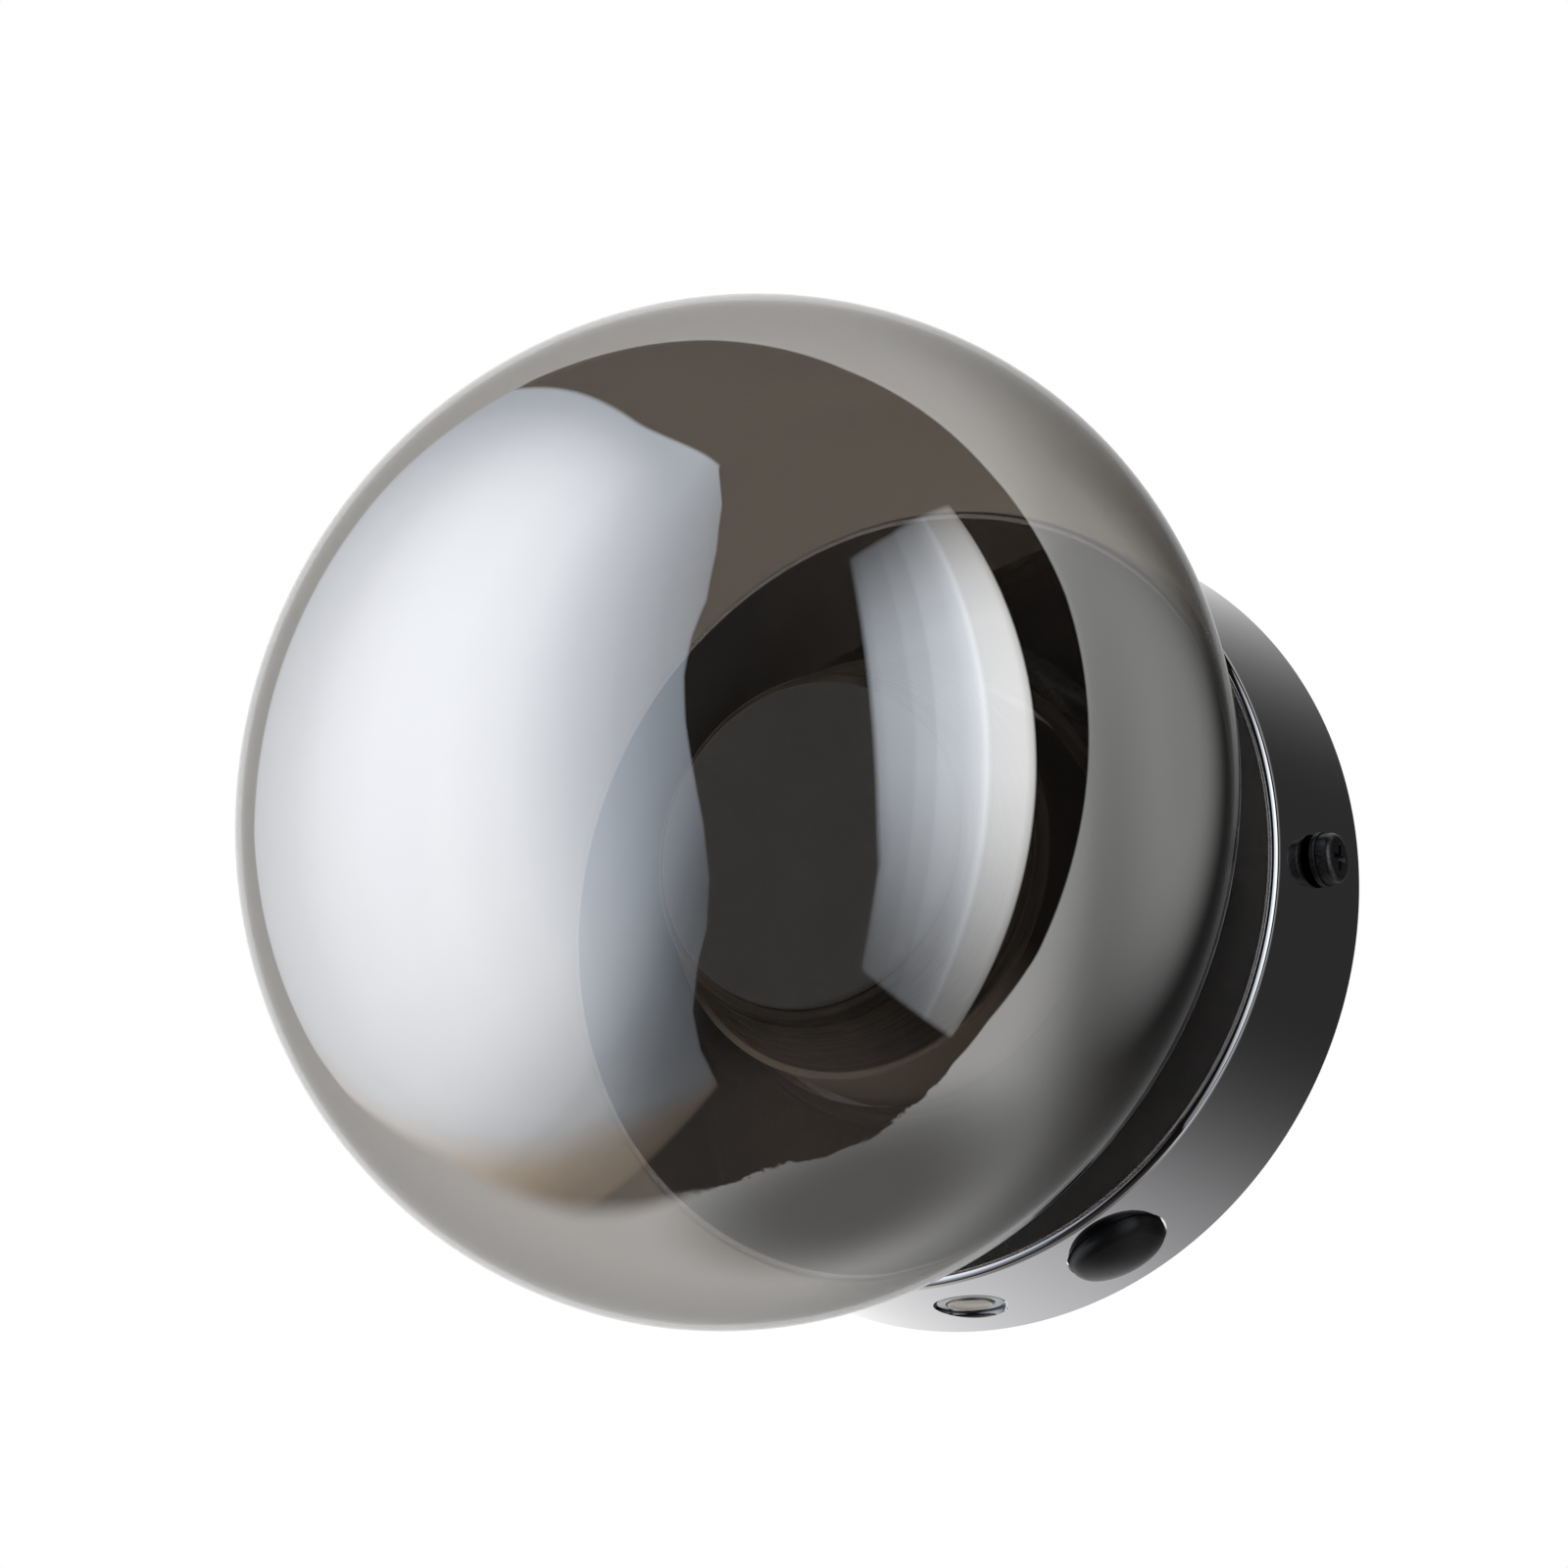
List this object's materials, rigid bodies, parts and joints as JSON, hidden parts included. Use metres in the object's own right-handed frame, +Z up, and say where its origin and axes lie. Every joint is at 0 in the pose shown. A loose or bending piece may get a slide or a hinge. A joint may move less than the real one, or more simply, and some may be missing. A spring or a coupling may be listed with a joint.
{
  "type": "globe wall sconce",
  "caption": "Wall light with a flattened smoke-mirrored glass globe on a round canopy, with a push switch and a small button on the canopy's side.",
  "frame": {"origin": "centre of the canopy's back rim, on the wall plane, where the bracket's back face lies", "axes": "+Z up, -Y out of the wall into the room, +X to the right seen from the room"},
  "size_m": [0.15, 0.1416, 0.15],
  "materials": {
    "black_chrome": "gloss black-chrome plate on spun steel",
    "black_enamel": "semi-gloss black",
    "black_oxide_steel": "black oxide",
    "zinc_steel": "zinc plated",
    "satin_steel": "satin nickel plate",
    "spring_steel": "bright wire",
    "champagne_metal": "satin anodised, pale",
    "brass": "bright brass",
    "black_rubber": "matte moulded",
    "black_foam": "closed-cell foam",
    "turned_aluminium": "turned",
    "white_board": "white solder mask",
    "led_phosphor": "phosphor dome",
    "opal_diffuser": "frosted opal",
    "white_plastic": "moulded",
    "black_plastic": "moulded",
    "green_board": "green solder mask",
    "brown_wire": "PVC insulation",
    "black_wire": "PVC insulation",
    "blue_wire": "PVC insulation",
    "green_wire": "PVC insulation",
    "white_wire": "PVC sheath",
    "smoke_mirror_glass": "blown, half-mirrored smoke coating"
  },
  "bodies": {
    "root": {"canopy": "black_chrome", "wall_bracket": "zinc_steel", "side_screws": "black_oxide_steel", "side_washers": "black_oxide_steel", "cable_grommet": "black_rubber", "earth_screw": "brass", "earth_washer": "brass", "earth_lug": "zinc_steel", "support_plate": "zinc_steel", "spacers": "zinc_steel", "plate_screws": "zinc_steel", "drum_screws": "zinc_steel", "stop_pins": "zinc_steel", "heat_sink_drum": "turned_aluminium", "led_board": "white_board", "led_chips": "led_phosphor", "board_screws": "zinc_steel", "board_connector": "white_plastic", "diffuser": "opal_diffuser", "driver_case": "white_plastic", "driver_lid": "white_plastic", "driver_board": "green_board", "driver_pad": "black_foam", "terminal_block": "white_plastic", "terminal_clamps": "brass", "terminal_screw": "zinc_steel", "switch_body": "black_plastic", "switch_nut": "zinc_steel", "switch_spring": "spring_steel", "switch_tags": "brass", "button_body": "satin_steel", "button_nut": "zinc_steel", "button_spring": "spring_steel", "button_pins": "brass", "button_plug": "white_plastic", "line_lead": "brown_wire", "switched_lead": "black_wire", "neutral_lead": "blue_wire", "earth_lead": "green_wire", "lamp_lead": "white_wire", "button_lead": "white_wire"},
    "globe": {"glass_globe": "smoke_mirror_glass", "bayonet_collar": "black_enamel", "collar_gasket": "black_rubber"},
    "push_switch": {"switch_cap": "black_rubber", "switch_plunger": "white_plastic"},
    "dim_button": {"button_cap": "champagne_metal"}
  },
  "joints": [
    {"name": "globe_twist", "type": "hinge", "parent": "root", "child": "globe", "pos_m": [0, -0.024, 0], "axis": [0, -1, 0], "range_deg": [0, 35]},
    {"name": "switch_press", "type": "slide", "parent": "root", "child": "push_switch", "axis": [-0.4462, 0, 0.8949], "range_m": [0, 0.002], "stiffness_N_per_m": 800, "springref_m": -0.002, "deforming": ["switch_spring"]},
    {"name": "button_press", "type": "slide", "parent": "root", "child": "dim_button", "axis": [-0.0436, 0, 0.999], "range_m": [0, 0.0008], "stiffness_N_per_m": 1000, "springref_m": -0.001, "deforming": ["button_spring"]}
  ]
}
